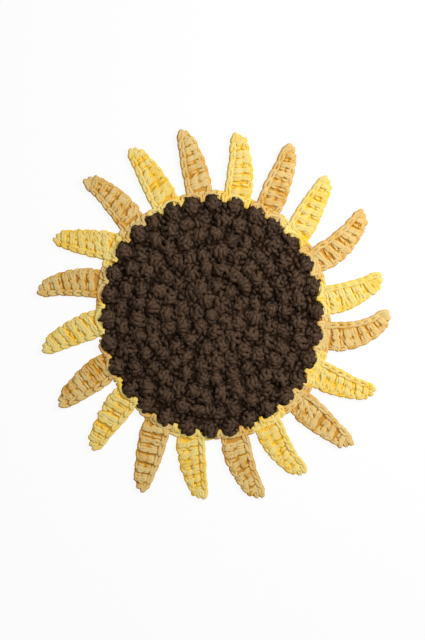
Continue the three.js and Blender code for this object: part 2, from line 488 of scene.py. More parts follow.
def fuzz(tree, where, wave):
    """A faint bump of fibres combed along the strand, and of its plies."""
    combed = tree.nodes.new("ShaderNodeVectorMath")
    combed.operation = "MULTIPLY"
    combed.inputs[1].default_value = FIBRES
    tree.links.new(where.outputs["UV"], combed.inputs[0])
    fibre = noise(tree, combed.outputs[0], scale=1, detail=3)
    bump = tree.nodes.new("ShaderNodeBump")
    bump.inputs["Strength"].default_value = BUMP_STRENGTH
    bump.inputs["Distance"].default_value = BUMP_HEIGHT * MM
    tree.links.new(maths(tree, "MULTIPLY_ADD", wave, PLY_HEIGHT, fibre), bump.inputs["Height"])
    return bump.outputs[0]


def dye_and_painted_shade(tree, level, deep, light):
    """A colour between the deep and the light one, chosen by the dye and by the painted shade and light.
    """
    ramp = tree.nodes.new("ShaderNodeValToRGB")
    stops = ramp.color_ramp.elements
    stops[0].position = DEEP_AT
    stops[0].color = (*deep, 1)
    stops[1].position = LIGHT_AT
    stops[1].color = (*light, 1)
    tree.links.new(level, ramp.inputs["Fac"])
    return ramp.outputs["Color"]


print("plies darken a strand by at most", PLY_SHADE)


# %% A material for yarn
def yarn_material(
    name, light, deep, depth, plies, gleam, rough=0.9, matt=0.0, hollows=0.35, sides=0.45, facing_from=0.1
):
    """depth is the height of the fabric's middle and of its lightest strands, in mm."""
    material, tree, output = node_tree(name)
    shader = tree.nodes.new("ShaderNodeBsdfPrincipled")
    tree.links.new(shader.outputs[0], output.inputs["Surface"])
    shader.inputs["Roughness"].default_value = rough
    shader.inputs["Diffuse Roughness"].default_value = matt
    shader.inputs["Specular IOR Level"].default_value = gleam
    shader.inputs["Sheen Weight"].default_value = 0.04
    shader.inputs["Sheen Roughness"].default_value = 0.6
    shader.inputs["Sheen Tint"].default_value = (*light, 1)

    where = tree.nodes.new("ShaderNodeTexCoord")
    wave = ply_wave(tree, where, plies)
    level = lightness(tree, where, depth, hollows, sides, facing_from)
    # painted shade: the grooves between the plies are darkened in the colour
    shaded = maths(tree, "MULTIPLY_ADD", wave, PLY_SHADE, level)
    tree.links.new(dye_and_painted_shade(tree, shaded, deep, light), shader.inputs["Base Color"])
    tree.links.new(fuzz(tree, where, wave), shader.inputs["Normal"])
    return material


print("a yarn is fully light from level", LIGHT_AT)

# %% [markdown]
# ### The yarns
#
# The petals' cotton is pale and very matt, and its hollows are painted a deeper orange as shade. The
# centre's is dark, and there a slight gleam shows the strands, because so little light comes back from
# the dye. The ground sheets inside are painted in a plain darker colour of the same three yarns, as yarn
# in shadow.

# %% Tan, yellow and brown
# hollows and sides set how much painted shade the low strands and the strands' sides get
PETAL_COTTON = {
    "depth": (2.1, 4.0),
    "plies": 4,
    "gleam": 0.2,
    "rough": 0.8,
    "matt": 1.0,
    "hollows": 0.45,
    "sides": 0.7,
    "facing_from": 0.3,
}
CENTRE_COTTON = {
    "depth": (1.5, 8.5),
    "plies": 4,
    "gleam": 0.19,
    "rough": 0.55,
    "matt": 0.55,
    "hollows": 0.5,
    "sides": 0.15,
}
INSIDE = {"depth": (0, 5), "plies": 1}

tan_yarn = yarn_material("tan_yarn", (0.815, 0.635, 0.275), (0.71, 0.35, 0.004), **PETAL_COTTON)
yellow_yarn = yarn_material("yellow_yarn", (0.89, 0.745, 0.285), (0.93, 0.60, 0.01), **PETAL_COTTON)
brown_yarn = yarn_material("brown_yarn", (0.095, 0.0525, 0.0285), (0.013, 0.005, 0.001), **CENTRE_COTTON)
# painted shade: the sheets inside get darker colours than their yarns, as yarn in shadow
tan_inside_shaded = yarn_material("tan_yarn_inside_shaded", (0.62, 0.33, 0.07), (0.5, 0.22, 0.03), gleam=0.08, **INSIDE)
yellow_inside_shaded = yarn_material(
    "yellow_yarn_inside_shaded", (0.88, 0.56, 0.08), (0.78, 0.44, 0.04), gleam=0.08, **INSIDE
)
brown_inside_shaded = yarn_material(
    "brown_yarn_inside_shaded", (0.03, 0.014, 0.007), (0.015, 0.006, 0.002), gleam=0.05, **INSIDE
)
print("yarns:", tan_yarn.name, yellow_yarn.name, brown_yarn.name)

# %% [markdown]
# ## Petals
#
# A petal is a short strip of flat crochet that grows out of the centre's edge. Its anticlockwise edge is
# the row of stitch tops, which looks like a chain: teardrop loops that lie over one another. Its
# clockwise edge is where the stitches began, and each makes a small bump there. Between the two edges
# the stitches lie as ribs across the petal.
#
# One petal could be made and turned twenty times, but no two are alike: they lean, bow and reach out
# differently. So a table has one row for each petal, anticlockwise from the top, with the sizes of the
# plain solid, and the stitches are worked anew on each.

# %% The petals' table
PETALS = [
    # yarn, root angle, root reach, tip angle, tip reach, bow, width, reach of the join after it
    ("tan", 95.2, 85, 98.6, 130.5, 0.5, 18.5, 84),
    ("yellow", 112.1, 82, 115.3, 128.8, 1, 19.3, 84),
    ("tan", 131, 84, 132.4, 128.6, 3, 19.2, 87.5),
    ("yellow", 144.2, 82, 153.4, 121.4, 0, 19.4, 86),
    ("tan", 164.4, 78, 171.7, 121.2, 3.5, 19.6, 83.5),
    ("yellow", 183.2, 78, 191.2, 118.8, 1, 18.9, 82),
    ("tan", 205.9, 80, 210, 121.7, 0, 20.4, 82),
    ("yellow", 223.3, 80, 228, 123.8, 0.5, 19.1, 83),
    ("tan", 243.4, 83, 247.9, 131, 0, 19.7, 85.5),
    ("yellow", 260.4, 84, 267.2, 126.8, 2, 19.5, 83),
    ("tan", 281.6, 85, 285.3, 130.5, 3.5, 19.7, 85),
    ("yellow", 298.6, 83, 300.6, 127, 4, 19.5, 86),
    ("tan", 315.6, 85, 317.2, 131.8, 0.5, 19.6, 88),
    ("yellow", 332.3, 82, 335.1, 125.5, 2.5, 19.3, 88),
    ("tan", 351, 80, 360.8, 123.8, 6.8, 19.6, 86.5),
    ("yellow", 368.3, 79, 373.1, 121.6, 3.6, 19.6, 86),
    ("tan", 388.4, 83, 394.3, 128.2, 4.5, 18.8, 86.5),
    ("yellow", 403.6, 83, 409.8, 125.4, 0.3, 18.3, 85.5),
    ("tan", 422.1, 84, 424.8, 131, 0.7, 18.4, 84),
    ("yellow", 438.1, 84, 441.8, 127.7, 2.5, 18.7, 85),
]
# The half-widths of a blade from its root (0) to its tip (1), as parts of its width.
BLADE_AT = (0.0, 0.18, 0.45, 0.7, 0.93, 1.0)
CHAIN_SIDE = (0.44, 0.52, 0.48, 0.39, 0.31, 0.18)
BUMP_SIDE = (0.42, 0.54, 0.49, 0.4, 0.31, 0.18)
print("petals:", len(PETALS))

# %% [markdown]
# ### A petal's own directions
#
# The part of a petal past its foot is called its blade here. A stitch lies somewhere along the blade
# and somewhere across it. Its points could be given as x and y, but then each petal would need its own.
# Instead a point is so far along the blade, from 0 to 1, and so many mm inward from the chain edge. The
# class below turns that into x and y, along a bowed middle line.

# %% A blade's own directions
TUCK = 2.5  # mm that a blade runs back into its foot
CROWN = 2.35  # mm, the height of the strands' middles at a petal's edges
CROWN_RISE = 0.6  # mm more along its middle


class Blade:
    """Places points on one petal: rows along it from 0 to 1, and mm inward from the chain edge."""

    def __init__(self, row):
        self.yarn, root, root_reach, tip, tip_reach, bow, self.width, _ = row
        start = np.array([math.cos(math.radians(root)), math.sin(math.radians(root))])
        end = np.array([math.cos(math.radians(tip)), math.sin(math.radians(tip))])
        hub = np.array([HUB_X, HUB_Y])
        start, end = hub + root_reach * start, hub + tip_reach * end
        along = (end - start) / np.linalg.norm(end - start)
        start = start - TUCK * along
        middle = (start + TUCK * along + end) / 2 + 2 * bow * np.array([along[1], -along[0]])
        self.ends = (start, middle, end)
        self.length = np.linalg.norm(end - start)

    def span(self, at):
        """The whole width at a place along the blade."""
        return self.width * (np.interp(at, BLADE_AT, CHAIN_SIDE) + np.interp(at, BLADE_AT, BUMP_SIDE))

    def crown(self, at, inward):
        """The height of the crocheted surface: a little higher along the middle of the petal."""
        across = 2 * inward / self.span(at) - 1
        return CROWN + CROWN_RISE * (1 - across**2)

    def place(self, at, inward, z):
        """A point on the bowed blade, which is a curve with one control point."""
        start, middle, end = self.ends
        point = (1 - at) ** 2 * start + 2 * at * (1 - at) * middle + at**2 * end
        along = (1 - at) * (middle - start) + at * (end - middle)
        along = along / np.linalg.norm(along)
        clockwise = np.array([along[1], -along[0]])
        chain_edge = self.width * np.interp(at, BLADE_AT, CHAIN_SIDE)
        x, y = point + clockwise * (inward - chain_edge)
        return (x, y, z)


print(f"the first blade is {Blade(PETALS[0]).length:.1f} mm long")

# %% [markdown]
# ### An uneven hand
#
# Yarn is soft, and a hand pulls each loop a little differently. The finished mesh could be shaken, but
# that would make the strands lumpy. Here the drawn points are moved before the curve runs through them,
# so each strand stays smooth. The dice start from a fixed number, so the same cloth comes out each time.

# %% Dice and shaken points
dice = np.random.default_rng(7)
HAND = 0.14  # mm that a point moves, give or take


def shaken(points, by=HAND):
    """The same points, each moved a little, and less in height."""
    return [np.array(p) + dice.normal(0, by, 3) * (1, 1, 0.6) for p in points]


print("points move by about", HAND, "mm")

# %% [markdown]
# ### Wraps
#
# Over the ribs of a petal lie short wraps, where the hook took the yarn round once more. A wrap could be
# half a ring across the rib, but its ends would stop in the air where the rib is slim. A closed loop,
# drawn tight and a little aslant, tucks its own ends down.

# %% A wrap
# Its points: along it and beside it, as parts of its half length and half width, and mm up.
WRAP = (
    (-1.0, -0.2, -0.6),
    (-0.45, -1.0, 0.1),
    (0.35, -0.95, 0.3),
    (1.0, 0.2, -0.6),
    (0.45, 1.0, 0.1),
    (-0.35, 0.95, 0.3),
)
WRAP_HALF_WIDTH = 0.75  # mm
WRAP_SINKS = 0.2  # mm below the top of the fabric


def wrap(skein, blade, row, inward, half, slant, thick):
    """A short loop that lies over a rib; slant is how far its ends lie to the sides, in mm."""
    points = []
    for along, aside, z in WRAP:
        beside = (aside * WRAP_HALF_WIDTH + along * slant) / blade.length
        crown = blade.crown(row, inward) - WRAP_SINKS
        points.append(blade.place(row + beside, inward + along * half, crown + z))
    skein.strand(shaken(points, 0.16), phase=dice.uniform(0, 6), swelling=0.06, thick=thick)


print("points in a wrap:", len(WRAP))

# %% [markdown]
# ### Ribs
#
# Each stitch of a petal shows as a rib across it. The yarn runs out along one side, round the end and
# back along the other, and it is drawn in at the waist, some ribs tighter than others. One thick strand
# could stand for the rib, but it would lose the groove between the two sides. So the rib is one long
# loop. Near the tip there is less room, and the ribs lie straighter there.

# %% A rib with its wraps
# Both sides of a rib from the chain edge on: end, belly, waist, belly, end.
RIB_BESIDE = (0.6, 1.2, 0.45, 1.2, 0.65)  # mm from its middle line
RIB_DOWN = (0.9, 0.1, 0.7, 0.1, 0.8)  # mm below the top of the fabric
WRAPS_BEGIN = 4.6  # mm in from the chain edge
WRAPS_LEAST_END = 6.6  # mm in, where the tip is narrow
BUMP_ROOM = 1.4  # mm kept free at the other edge
WRAP_LENGTH = 5.6  # mm, or as near to it as fits
WRAP_CHANCE = 0.6
WAIST_AT = (0.42, 0.58)  # shares of the way across, and the dice choose between them
WRAP_HALF = (0.38, 0.5)  # shares of its length
WRAP_LEANS = (0.4, 1.6)  # mm more slant than the rib
WRAP_THICK = (1.0, 1.15)


def wraps_across(blade, row):
    """The length of a wrap at a row of the blade, and how many fit."""
    room = max(blade.span(row) - BUMP_ROOM, WRAPS_LEAST_END) - WRAPS_BEGIN
    count = max(1, round(room / WRAP_LENGTH))
    return room / count, count


def rib(skein, blade, row, slant):
    """A long loop across the petal, drawn in at its waist, with short wraps over it."""
    length, count = wraps_across(blade, row)
    start, end = WRAPS_BEGIN - 0.4, WRAPS_BEGIN + count * length
    waist, tight = dice.uniform(*WAIST_AT), dice.uniform(0, 1)
    row = row + dice.normal(0, 0.6) / blade.length
    calm = min(1, 1.4 - row)
    slant = (slant + dice.normal(0, 0.5)) * calm
    shares = (0.0, waist / 2, waist, (1 + waist) / 2, 1.0)
    points = []
    for side in (-1, 1):
        for k in range(5)[::-side]:
            inward = start + shares[k] * (end - start)
            beside = side * RIB_BESIDE[k] * (1 - 0.2 * tight) + (shares[k] - 0.5) * 2 * slant
            crown = blade.crown(row, inward)
            points.append(blade.place(row + beside / blade.length, inward, crown - RIB_DOWN[k]))
    skein.strand(shaken(points, 0.16), phase=dice.uniform(0, 6), thick=1.15 + 0.25 * tight)
    for i in range(count):
        if dice.random() < WRAP_CHANCE:
            inward = WRAPS_BEGIN + (i + 0.5 + dice.uniform(-0.15, 0.15)) * length
            beside = dice.normal(0, 0.3) / blade.length
            half = length * dice.uniform(*WRAP_HALF)
            lean = slant + dice.uniform(*WRAP_LEANS) * calm
            wrap(skein, blade, row + beside, inward, half, lean, dice.uniform(*WRAP_THICK))


print("wraps that fit across the first blade:", wraps_across(Blade(PETALS[0]), 0.3)[1])

# %% [markdown]
# ### Between two ribs
#
# Between the ribs a lower strand shows, and it dives at their waists, so that a small hole opens there.
# A dark spot in the material could look like that hole, but only from above. A real dip keeps its shadow
# from every side, and the ground sheet below is what is seen in it.

# %% The strand between two ribs
# Its points: the share of the way across, and mm below the top of the fabric.
BETWEEN_RIBS = (
    (0.0, 1.2),
    (0.12, 0.4),
    (0.3, 0.1),
    (0.42, 0.9),
    (0.5, 1.9),
    (0.58, 0.9),
    (0.7, 0.1),
    (0.88, 0.4),
    (1.0, 1.2),
)


def between_ribs(skein, blade, row):
    """One open strand across the petal, which dives about half-way."""
    length, count = wraps_across(blade, row)
    whole = count * length
    shift = dice.uniform(-0.08, 0.08)
    points = []
    for share, down in BETWEEN_RIBS:
        inward = WRAPS_BEGIN + (share + shift) * whole
        points.append(blade.place(row, inward, blade.crown(row, inward) - down))
    skein.strand(shaken(points, 0.15), closed=False, phase=dice.uniform(0, 6))


print("the strand dives", max(down for share, down in BETWEEN_RIBS), "mm")

# %% [markdown]
# ### A chain
#
# The edge of a petal and the foot below it end in a chain. Each of its links is a teardrop, and the head
# of each lies on the tail of the next. Two plaited strands could look much the same, but they would run
# on evenly. Separate teardrops give the scalloped edge. The helper is told how to find its places,
# because one chain follows a blade and another the round rim.

# %% One teardrop of a chain
# Its points: along the chain in pitches, inward in mm from its outer side, and up in mm.
TEARDROP = (
    (-0.7, 1.0, 1.5),
    (-0.25, 0.0, 2.1),
    (0.35, 0.0, 2.8),
    (0.68, 0.9, 3.0),
    (0.35, 1.8, 2.8),
    (-0.25, 1.9, 2.1),
)
CHAIN_INSIDE = 1.5  # mm from the edge to the middle of the outermost strand


def chain_loop(skein, place, row, pitch, thick=1.0, wide=1.0, up=0.0):
    """One teardrop; place takes a row, a distance inward from the edge and a height."""
    points = [
        place(row + along * pitch, CHAIN_INSIDE + inward * wide, z + up)
        for along, inward, z in TEARDROP
    ]
    skein.strand(shaken(points, 0.2), phase=dice.uniform(0, 6), thick=thick * dice.uniform(0.92, 1.08))


print("a teardrop is", TEARDROP[3][0] - TEARDROP[0][0], "pitches long, so it lies over the next")

# %% [markdown]
# ### The stitches of one blade
#
# A blade begins with small upright loops in its foot, goes on with six ribs, and closes at the tip with
# a knot of loops. They could be placed one by one. Since they follow the same order on each petal, one
# function works them all, and the dice make the difference.

# %% Work one blade
RIBS = 6
RIBS_SLANT = (0.6, 1.5)  # mm, much the same for all the ribs of one petal
LAST_ROW = 0.93
BUMPS_OUT = 0.4  # mm that the small bumps stand past the blade's edge
BASE_ACROSS = (0.3, 0.5, 0.7, 0.88)  # shares of the width
TIP_PLACES = ((0.97, 0.26), (0.975, 0.74), (0.965, 0.5), (0.9, 0.6))  # along the blade, across it
# The points of a small loop: along the blade, inward in mm, and up in mm.
BASE_LOOP = (
    (-0.12, -0.8, 1.8),
    (-0.08, -0.9, 2.5),
    (-0.03, 0.0, 1.8),
    (-0.08, 0.9, 2.5),
    (-0.12, 0.8, 1.8),
)
TIP_LOOP = (
    (-0.06, -0.9, 1.9),
    (-0.02, -1.1, 2.6),
    (0.005, 0.0, 2.5),
    (-0.02, 1.1, 2.6),
    (-0.06, 0.9, 1.9),
    (-0.08, 0.0, 1.5),
)


def small_loop(skein, blade, row, inward, shape, thick=1.0):
    points = [blade.place(row + along, inward + aside, z) for along, aside, z in shape]
    skein.strand(shaken(points), phase=dice.uniform(0, 6), thick=thick)


def blade_stitches(skein, blade, first):
    """All the stitches of a blade from its first row, just past the foot, to its tip."""
    pitch = (LAST_ROW - first) / RIBS
    slant = dice.uniform(*RIBS_SLANT)

    def bump_edge(row, inward, z):
        return blade.place(row, blade.span(row) + BUMPS_OUT - inward, z)

    for share in BASE_ACROSS:
        small_loop(skein, blade, first, share * blade.span(first), BASE_LOOP)
    for i in range(RIBS):
        rib(skein, blade, first + (i + 0.5) * pitch, slant)
        if i:
            between_ribs(skein, blade, first + i * pitch)
    for i in range(RIBS + 1):
        chain_loop(skein, blade.place, first + i * pitch, pitch, thick=1.2, wide=1.1, up=0.2)
        if i < RIBS:
            chain_loop(skein, bump_edge, first + i * pitch, pitch * 0.7, thick=1.05, up=-0.4)
    for row, share in TIP_PLACES:
        small_loop(skein, blade, row, share * blade.span(row), TIP_LOOP, thick=1.15)


print("ribs on a blade:", RIBS)

# %% [markdown]
# ### Angles round the rim
#
# The centre ends in a rim of thirty bobbles, and the petals' feet are worked into the stitches between
# them. The angles could be even, 12 degrees each, but a worked rim crowds a little on two sides, and the
# feet must follow it. So one function gives the angle of each scallop, and the foot asks it too.

# %% Scallops and feet
FIRST_SCALLOP = 4.5  # degrees
SCALLOPS = 30
TWO_TURNS_OF_HALVES = range(-1, 2 * SCALLOPS + 18)  # the petals' angles go on past a whole turn


def rim_angle(step):
    """The angle of a scallop, or half-way for a step and a half: the rim's stitches crowd a little."""
    even = FIRST_SCALLOP + 360 / SCALLOPS * step
    turn = math.radians(even)
    return even - 1.3 + 0.5 * math.cos(turn) + 1.8 * math.cos(2 * turn - math.radians(148))


def unpulled(angle):
    """An angle turned back so far that the pull brings it to where it was."""
    x, y = math.cos(math.radians(angle)), math.sin(math.radians(angle))
    cross = x * y * (1 / PULL_DOWN - 1 / PULL_ACROSS)
    return angle + math.degrees(math.atan2(cross, x * x / PULL_ACROSS + y * y / PULL_DOWN))


class Foot:
    """A petal's share of the rim, from its join with one neighbour to its join with the next."""

    def __init__(self, index):
        row, before = PETALS[index], PETALS[index - 1]
        after = PETALS[(index + 1) % len(PETALS)]
        self.start = unpulled(row[1] - (row[1] - before[1]) % 360 / 2)
        self.end = unpulled(row[1] + (after[1] - row[1]) % 360 / 2)
        self.reaches = (before[7], row[7])

    def edge(self, angle):
        """How far the foot reaches at an angle, in mm."""
        return np.interp(angle, (self.start, self.end), self.reaches)

    def fold(self, blade, root):
        """The place along the blade where its first stitch begins, just past the foot."""
        x, y, _ = in_round(unpulled(root), self.edge(unpulled(root)) - 0.3, 0)
        past = math.hypot(x - blade.ends[0][0], y - blade.ends[0][1])
        return past / blade.length

    def half_steps(self):
        """The half steps of the rim that lie in this foot."""
        return [h for h in TWO_TURNS_OF_HALVES if self.start <= rim_angle(h / 2) < self.end]


print("half steps in the first foot:", Foot(0).half_steps())

# %% [markdown]
# ### The foot
#
# A petal grows from single crochets in the edge of the centre. Between two bobbles a pair of loops comes
# up, under each bobble three legs lie beside one another, and a strand passes round the bobble's
# underside. The foot could be one plain slab, since the bobbles hide most of it, but it shows from the
# side and from the back. Worked from strands, it holds together from there too.

# %% The loops of a foot
# Their points: degrees to a side, mm from the middle of the flower, and mm up.
RISING_LOOP = (
    (0.3, 77.4, 3.6),
    (0.4, 78.4, 4.5),
    (0.7, 79.8, 4.2),
    (1.1, 81.8, 3.0),
    (1.1, 82.2, 1.9),
    (1.0, 80.5, 1.5),
    (0.5, 78.2, 1.7),
)
LEG = (
    (1.9, 77.4, 2.6),
    (1.9, 80.4, 3.0),
    (2.0, 82.4, 2.0),
    (1.9, 80.4, 1.4),
)
UNDER_BOBBLE = 5.6  # degrees that a strand passes to each side of a bobble


def foot_loop(skein, shape, angle, side):
    points = [in_round(angle + side * away, reach, z) for away, reach, z in shape]
    skein.strand(shaken(points), phase=dice.uniform(0, 6))


def under_bobble(skein, foot, angle):
    """A strand round the underside of a bobble, inside the foot."""
    low_side, high_side = max(angle - UNDER_BOBBLE, foot.start), min(angle + UNDER_BOBBLE, foot.end)
    points = [
        in_round(low_side, 79.4, 3.6),
        in_round((angle + low_side) / 2, 82.0, 3.4),
        in_round(angle, 83.0, 3.0),
        in_round((angle + high_side) / 2, 82.0, 3.4),
        in_round(high_side, 79.4, 3.6),
    ]
    skein.strand(shaken(points), closed=False, phase=dice.uniform(0, 6))


print("points in a rising loop:", len(RISING_LOOP), "and in a leg:", len(LEG))

# %% [markdown]
# ### The foot's chain
#
# Where the petals meet, the chain at the edge of the foot shows, and behind it a second one where the
# foot is broad enough. A plain cord could follow the edge there, but it would look unlike the rest of
# the petal. So it has the same teardrops as the blade. Only their places differ, since they follow the
# rim and the reach of the foot.

# %% Work one foot
CHAIN_PITCH = 3.2  # degrees, or as near to it as fits
CHAINS_OUT = 0.3  # mm that the outer chain stands past the foot's edge
CHAINS_IN = (0.0, 2.4)  # mm from there to each chain
LEAST_REACH = 82.5  # mm, nearer the middle the bobbles hide a chain


def foot_chain(skein, foot, further):
    """A chain along a foot, so many mm inside its edge."""
    loops = max(3, round((foot.end - foot.start) / CHAIN_PITCH))
    pitch = (foot.end - foot.start) / loops

    def along_rim(angle, inward, z):
        return in_round(angle, foot.edge(angle) + CHAINS_OUT - further - inward, z)

    for i in range(loops):
        angle = foot.start + (i + 0.5) * pitch
        if foot.edge(angle) - further > LEAST_REACH:
            chain_loop(skein, along_rim, angle, pitch)


def foot_stitches(skein, foot):
    """All the stitches of a foot: between the bobbles, under them, and along the edge."""
    for half in foot.half_steps():
        angle = rim_angle(half / 2)
        if half % 2:
            for side in (-1, 1):
                foot_loop(skein, RISING_LOOP, angle, side)
        else:
            under_bobble(skein, foot, angle)
            for side in (-1, 0, 1):
                foot_loop(skein, LEG, angle, side)
    for further in CHAINS_IN:
        foot_chain(skein, foot, further)


print("chains on a foot:", len(CHAINS_IN))

# %% [markdown]
# ### The ground sheet of a petal
#
# Inside real crochet there is more yarn than can be seen, and little light comes through. More strands
# could fill it, unseen. A thin sheet does the same with a few faces: it lies inside the strands, a
# little smaller than the petal, in the colour of yarn in shadow. Its outline runs out along the blade
# and back, and round the foot.

# %% The outline of a ground sheet
INSET = 1.7  # mm inside the blade's edge
LEAST_WIDTH = 0.6  # mm at the tip
SHEET_ROWS = np.linspace(0.02, 0.95, 14)  # places along the blade
FOOT_INNER = 77.2  # mm, under the rim of bobbles
FOOT_INSET = 1.6  # mm inside the foot's edge
FOOT_STEP = 1.5  # degrees between two corners there
BLADE_FROM = 1.4  # mm inside the foot's edge, where the blade's outline takes over


def petal_outline(blade, foot):
    """The x and y of a ground sheet's corners, in mm."""
    bump_side = [
        blade.place(at, max(blade.span(at) - INSET, INSET + LEAST_WIDTH), 0)[:2] for at in SHEET_ROWS
    ]
    chain_side = [blade.place(at, INSET, 0)[:2] for at in SHEET_ROWS[::-1]]

    def round_place(point):
        x, y = (np.array(point) - (HUB_X, HUB_Y)) / (PULL_ACROSS, PULL_DOWN)
        turn = (math.degrees(math.atan2(y, x)) - foot.start + 180) % 360 - 180 + foot.start
        return turn, math.hypot(x, y)

    def outside(point):
        turn, reach = round_place(point)
        return reach > foot.edge(turn) - BLADE_FROM

    def along_foot(angles):
        return [in_round(angle, foot.edge(angle) - FOOT_INSET, 0)[:2] for angle in angles]

    blade_edge = [point for point in bump_side + chain_side if outside(point)]
    into, away = round_place(blade_edge[0])[0], round_place(blade_edge[-1])[0]
    first = along_foot(np.arange(foot.start, into - 0.3, FOOT_STEP))
    last = along_foot(np.arange(foot.end, away + 0.3, -FOOT_STEP)[::-1])
    inner = [in_round(angle, FOOT_INNER, 0)[:2] for angle in np.linspace(foot.end, foot.start, 8)]
    return first + blade_edge + last + inner


print("corners of the first ground sheet:", len(petal_outline(Blade(PETALS[0]), Foot(0))))

# %% [markdown]
# ### From an outline to a sheet
#
# The outline could be a curve filled by Blender, but one face and solidify are simpler and give a closed
# solid with an even thickness. The face's area is kept, because it says how much fabric the petal has.

# %% Fill and thicken
GROUND_HEIGHT = 2.6  # mm
GROUND_THICK = 1.0


def petal_ground(name, blade, foot, material):
    """A ground sheet and its area in square metres."""
    bm = bmesh.new()
    corners = [
        bm.verts.new((x * MM, y * MM, GROUND_HEIGHT * MM)) for x, y in petal_outline(blade, foot)
    ]
    face = bm.faces.new(corners)
    face.normal_update()
    area = face.calc_area()
    bmesh.ops.solidify(bm, geom=[face], thickness=GROUND_THICK * MM)
    bmesh.ops.triangulate(bm, faces=bm.faces)
    bmesh.ops.recalc_face_normals(bm, faces=bm.faces)
    return put_in_scene(mesh_from(bm, name), material), area


print("a ground sheet is", GROUND_THICK, "mm thick")

# %% [markdown]
# ### Twenty petals
#
# The real petals are alternately tan and yellow. All the stitches could be one mesh, but each petal is a
# piece of its own, so that it can be dyed alone and takes the place of its plain solid. Each ground
# sheet rides along on the root as well.

# %% Work all the petals
front_yarn = {"tan": tan_yarn, "yellow": yellow_yarn}
inside_yarn_shaded = {"tan": tan_inside_shaded, "yellow": yellow_inside_shaded}
petal_faces = 0
petal_lengths = []
for index, row in enumerate(PETALS):
    blade, foot = Blade(row), Foot(index)
    name = f"petal_{blade.yarn}_{index // 2 + 1:02d}"
    skein = Skein(name + "_stitches", single_section, SINGLE_LAY)
    blade_stitches(skein, blade, foot.fold(blade, row[1]))
    foot_stitches(skein, foot)
    piece = skein.piece(front_yarn[blade.yarn])
    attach(piece, "root")
    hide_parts(name)
    sheet, area = petal_ground(name + "_ground", blade, foot, inside_yarn_shaded[blade.yarn])
    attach(sheet, "root")
    petal_faces += len(piece.data.polygons)
    petal_lengths.append(skein.length / 1000)
print(f"yarn in a petal: {min(petal_lengths):.2f} to {max(petal_lengths):.2f} m")
print("faces in all the petals:", petal_faces)

# %% [markdown]
# ## The centre
#
# The centre is worked in the round with two brown yarns held together. Plain rounds of single crochet
# alternate with rounds of bobbles, and the last round is all bobbles, which overhang the petals' roots.
# Six more bobbles fit in each round than in the one inside it, which keeps the cloth flat. An array
# modifier could place them, but it would set them all alike. Here their angles and reaches come from
# the rounds, and the dice move them a little.

# %% Where the bobbles stand
ROUND_PITCH = 10.8  # mm between two rounds
BOBBLES = (6, 12, 18, 24, 30, 30)  # in each round from the middle out
RIM_REACH = 75.8


def rim_lean(angle):
    """How far the rim leans out at an angle, in mm: it isn't quite round."""
    turn = math.radians(angle)
    return 0.8 * math.cos(6 * turn - math.radians(162)) + 0.5 * math.cos(3 * turn)


def bobble_places():
    """The angle and reach of each bobble inside the rim."""
    places = []
    for ring, count in enumerate(BOBBLES, start=1):
        for i in range(count):
            if ring == len(BOBBLES):
                angle = rim_angle(i + 0.5)
            else:
                angle = 360 / count * (i + 0.5 * (ring % 2)) + 9 * ring
            reach = ROUND_PITCH * ring + dice.normal(0, 0.9)
            places.append((angle + math.degrees(dice.normal(0, 0.9) / reach), reach))
    return places


print("bobbles inside the rim:", sum(BOBBLES))

# %% [markdown]
# ### A bobble
#
# A bobble is several tall stitches made in one place and closed with one loop, so that they arch up side
# by side. It could be a ball with a bumpy surface, but then the dark gaps between its strands would be
# missing. So short loops of doubled yarn stand on a dome: one on the top, and two rings round it. Each
# comes up, bends over and dives again.

# %% A short loop, and a dome of them
# The points of a short loop: along it as parts of its half length, and mm down from its top.
KNOT = ((-0.9, 3.2), (-1.0, 1.4), (-0.6, 0.3), (0.0, 0.0), (0.6, 0.3), (1.0, 1.4), (0.9, 3.2))
KNOT_LOWEST = 2.4  # mm, which keeps a doubled strand just off the paper
DOME_BASE = 3.2  # mm, the middle of the lowest strands
DOME_RINGS = ((0.54, 0.76, 5), (0.88, 0.36, 6))  # share of the radius, of the rise, loops
DOME_SLOPE = 0.6
TOP_HALF = 2.0  # mm, half the length of the loop on top
LOOP_HALF = (1.5, 2.4)  # mm, and the dice choose between them
LOOP_THICK = (0.8, 1.0)


def knot(skein, angle, reach, out, across, z, slant, slope, size=1.2, thick=1.0):
    """A short loop that comes up and dives again; slope tips it away from the bobble's middle."""
    along = np.array([math.cos(slant), math.sin(slant)])
    points = []
    for share, drop in KNOT:
        o, a = np.array([out, across]) + share * size * along
        level = z - drop - slope * (math.hypot(o, a) - math.hypot(out, across))
        points.append(in_round(angle + math.degrees(a / reach), reach + o, max(level, KNOT_LOWEST)))
    skein.strand(shaken(points, 0.2), closed=False, phase=dice.uniform(0, 6), thick=thick)


def bobble(skein, angle, reach, size=5.0, rise=4.4, uneven=0.0):
    """size is the dome's radius and rise its height over the base, both to the strands' middles."""
    first = dice.uniform(0, 60)
    stretch = 1 + dice.normal(0, uneven)
    knot(skein, angle, reach, 0, 0, DOME_BASE + rise, dice.uniform(0, math.pi), 0, TOP_HALF)
    for share, level, count in DOME_RINGS:
        for i in range(count):
            turn = math.radians(first + 360 / count * i + dice.normal(0, 8))
            away = size * share * dice.normal(1, 0.08)
            height = DOME_BASE + rise * (level + dice.normal(0, 0.1))
            slant = turn + math.radians(dice.normal(90, 45))
            out, across = away * math.cos(turn) * stretch, away * math.sin(turn) / stretch
            half, thick = dice.uniform(*LOOP_HALF), dice.uniform(*LOOP_THICK)
            knot(skein, angle, reach, out, across, height, slant, DOME_SLOPE, half, thick)


print("loops in a bobble:", 1 + sum(count for share, level, count in DOME_RINGS))

# %% [markdown]
# ### Rounds of bobbles
#
# The inner and outer rounds could be one mesh, but two meshes of middling size are easier to handle, and
# the rim is a third, because it alone lies over the petals. The bobbles inside differ in size and
# height. Those of the rim are more even, as they hold the edge.

